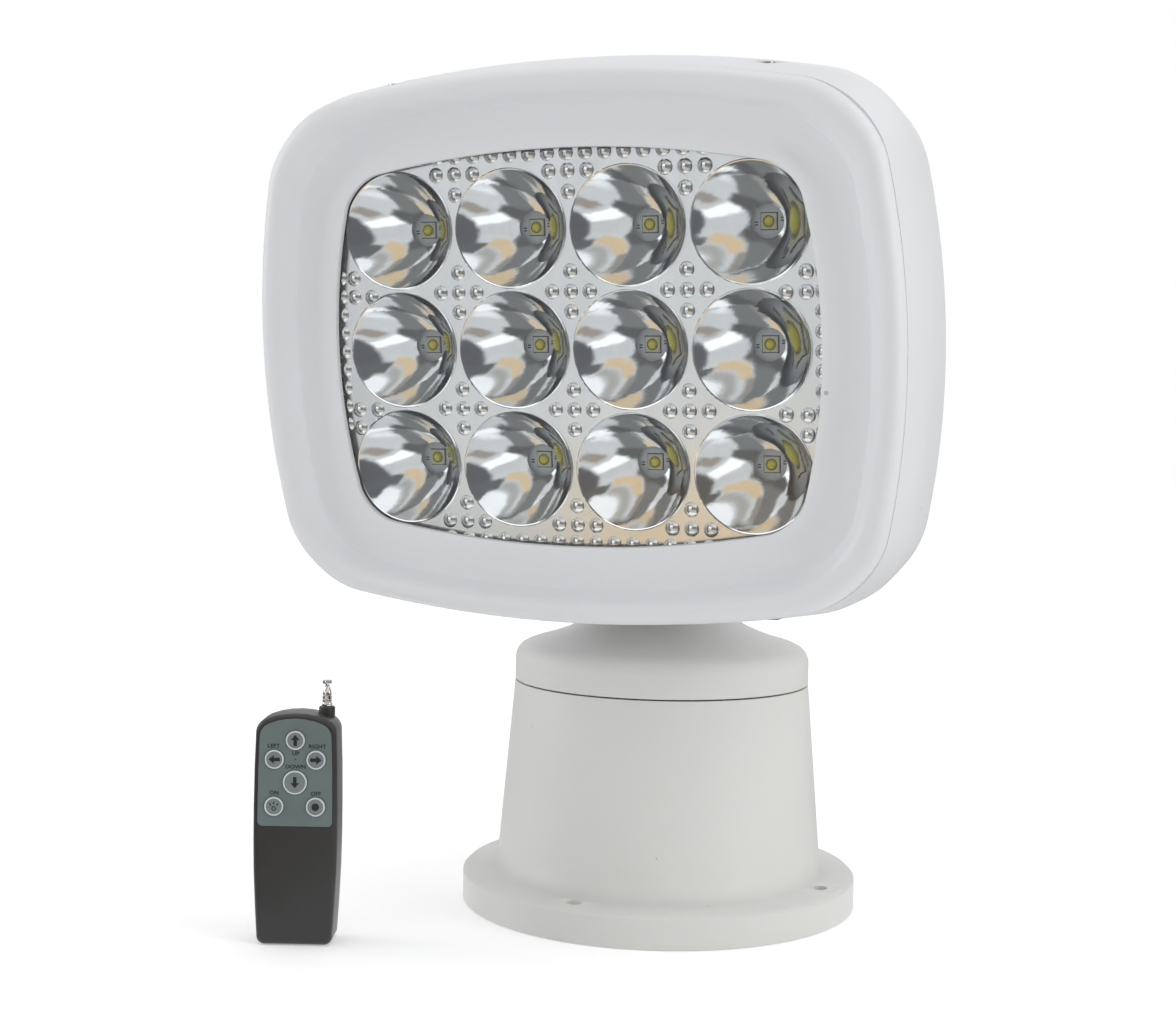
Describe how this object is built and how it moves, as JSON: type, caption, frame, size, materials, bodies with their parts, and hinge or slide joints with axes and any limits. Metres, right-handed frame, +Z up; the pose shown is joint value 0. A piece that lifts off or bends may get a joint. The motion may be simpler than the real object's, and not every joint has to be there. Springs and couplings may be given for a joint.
{
  "type": "remote control spotlight",
  "caption": "Flanged pan and tilt deck searchlight with a grid of LED cups behind a clear lens in a white housing, and a small keypad radio handset.",
  "frame": {"origin": "centre of the base's underside, where the flange meets the deck", "axes": "+Z up along the pan axis, the lamp's face points along -Y with the pan joint at 0, and +X is to the right of a viewer who faces the lens"},
  "size_m": [0.1912, 0.1644, 0.25],
  "materials": {
    "white_shell": "fine satin moulded finish",
    "white_base": "satin moulded finish",
    "clear_lens": "clear polycarbonate",
    "reflector_metal": "vacuum metallised plastic",
    "led_yellow": "phosphor under silicone",
    "led_package": "white package",
    "circuit_green": "solder mask",
    "star_board": "coated board",
    "bare_aluminium": "die cast, plain",
    "steel": "plain steel",
    "chrome_rod": "plated",
    "brass_part": "turned",
    "black_rubber": "moulded",
    "acetal": "moulded gear plastic",
    "black_plastic": "fine texture",
    "grey_label": "printed label",
    "white_key": "moulded",
    "component_dark": "component bodies"
  },
  "bodies": {
    "base": {"base_housing": "white_base", "bottom_plate": "black_plastic", "bottom_seal": "black_rubber", "base_screws": "steel", "cable_grommet": "black_rubber", "control_board": "circuit_green", "board_parts": "component_dark", "receiver_module": "circuit_green", "pan_bush": "acetal", "pan_motor_bracket": "steel", "pan_gearbox": "black_plastic", "pan_motor": "steel"},
    "pan_drive": {"pan_pinion": "steel"},
    "turret": {"turret_cap": "white_base", "pan_hub": "bare_aluminium", "hub_screws": "steel", "pan_gear": "acetal", "pan_washer": "brass_part", "hub_nut": "steel", "seam_seal": "black_rubber", "neck_drum": "white_base", "tilt_axle": "steel", "tilt_gear": "acetal", "axle_clips": "steel"},
    "head": {"rear_shell": "white_shell", "bezel": "white_shell", "bezel_screws": "steel", "lens": "clear_lens", "lens_gasket": "black_rubber", "reflector": "reflector_metal", "led_boards": "star_board", "leds": "led_package", "led_domes": "led_yellow", "heat_sink": "bare_aluminium", "head_screws": "steel", "led_driver": "circuit_green", "driver_parts": "component_dark", "tilt_bushes": "acetal", "tilt_motor_bracket": "steel", "tilt_gearbox": "black_plastic", "tilt_motor": "steel"},
    "tilt_drive": {"tilt_pinion": "steel"},
    "handset": {"front_shell": "black_plastic", "back_shell": "black_plastic", "keypad_label": "grey_label", "battery_door": "black_plastic", "battery": "steel", "handset_board": "circuit_green", "handset_screws": "steel", "aerial_tube": "black_plastic"},
    "aerial_lower": {"aerial_section": "chrome_rod"},
    "aerial_upper": {"aerial_tip": "chrome_rod"},
    "key_up": {"key_up": "white_key"},
    "key_left": {"key_left": "white_key"},
    "key_right": {"key_right": "white_key"},
    "key_down": {"key_down": "white_key"},
    "key_on": {"key_on": "white_key"},
    "key_off": {"key_off": "white_key"}
  },
  "joints": [
    {"name": "pan", "type": "hinge", "parent": "base", "child": "turret", "pos_m": [0, 0, 0.06], "axis": [0, 0, 1], "range_deg": [-180, 180]},
    {"name": "pan_pinion_spin", "type": "hinge", "parent": "base", "child": "pan_drive", "pos_m": [0, 0.03, 0.051], "axis": [0, 0, 1], "range_deg": [-540, 540]},
    {"name": "tilt", "type": "hinge", "parent": "turret", "child": "head", "pos_m": [0, 0, 0.133], "axis": [1, 0, 0], "range_deg": [-67.5, 12.5]},
    {"name": "tilt_pinion_spin", "type": "hinge", "parent": "head", "child": "tilt_drive", "pos_m": [0.026, -0.01339, 0.15872], "axis": [1, 0, 0], "range_deg": [-212.2, 39.4]},
    {"name": "handset_carry", "type": "slide", "parent": "base", "child": "handset", "axis": [-0.6572, -0.7537, 0], "range_m": [0, 0.15]},
    {"name": "aerial_lower_slide", "type": "slide", "parent": "handset", "child": "aerial_lower", "axis": [0, 0, 1], "range_m": [0, 0.026]},
    {"name": "aerial_upper_slide", "type": "slide", "parent": "aerial_lower", "child": "aerial_upper", "axis": [0, 0, 1], "range_m": [0, 0.026]},
    {"name": "key_up_press", "type": "slide", "parent": "handset", "child": "key_up", "axis": [-0.342, 0.9397, 0], "range_m": [0, 0.0004], "stiffness_N_per_m": 600, "springref_m": -0.0005},
    {"name": "key_left_press", "type": "slide", "parent": "handset", "child": "key_left", "axis": [-0.342, 0.9397, 0], "range_m": [0, 0.0004], "stiffness_N_per_m": 600, "springref_m": -0.0005},
    {"name": "key_right_press", "type": "slide", "parent": "handset", "child": "key_right", "axis": [-0.342, 0.9397, 0], "range_m": [0, 0.0004], "stiffness_N_per_m": 600, "springref_m": -0.0005},
    {"name": "key_down_press", "type": "slide", "parent": "handset", "child": "key_down", "axis": [-0.342, 0.9397, 0], "range_m": [0, 0.0004], "stiffness_N_per_m": 600, "springref_m": -0.0005},
    {"name": "key_on_press", "type": "slide", "parent": "handset", "child": "key_on", "axis": [-0.342, 0.9397, 0], "range_m": [0, 0.0004], "stiffness_N_per_m": 600, "springref_m": -0.0005},
    {"name": "key_off_press", "type": "slide", "parent": "handset", "child": "key_off", "axis": [-0.342, 0.9397, 0], "range_m": [0, 0.0004], "stiffness_N_per_m": 600, "springref_m": -0.0005}
  ],
  "couplings": [
    {"joint": "pan_pinion_spin", "follows": "pan", "ratio": -3},
    {"joint": "tilt_pinion_spin", "follows": "tilt", "ratio": 3.1429}
  ]
}
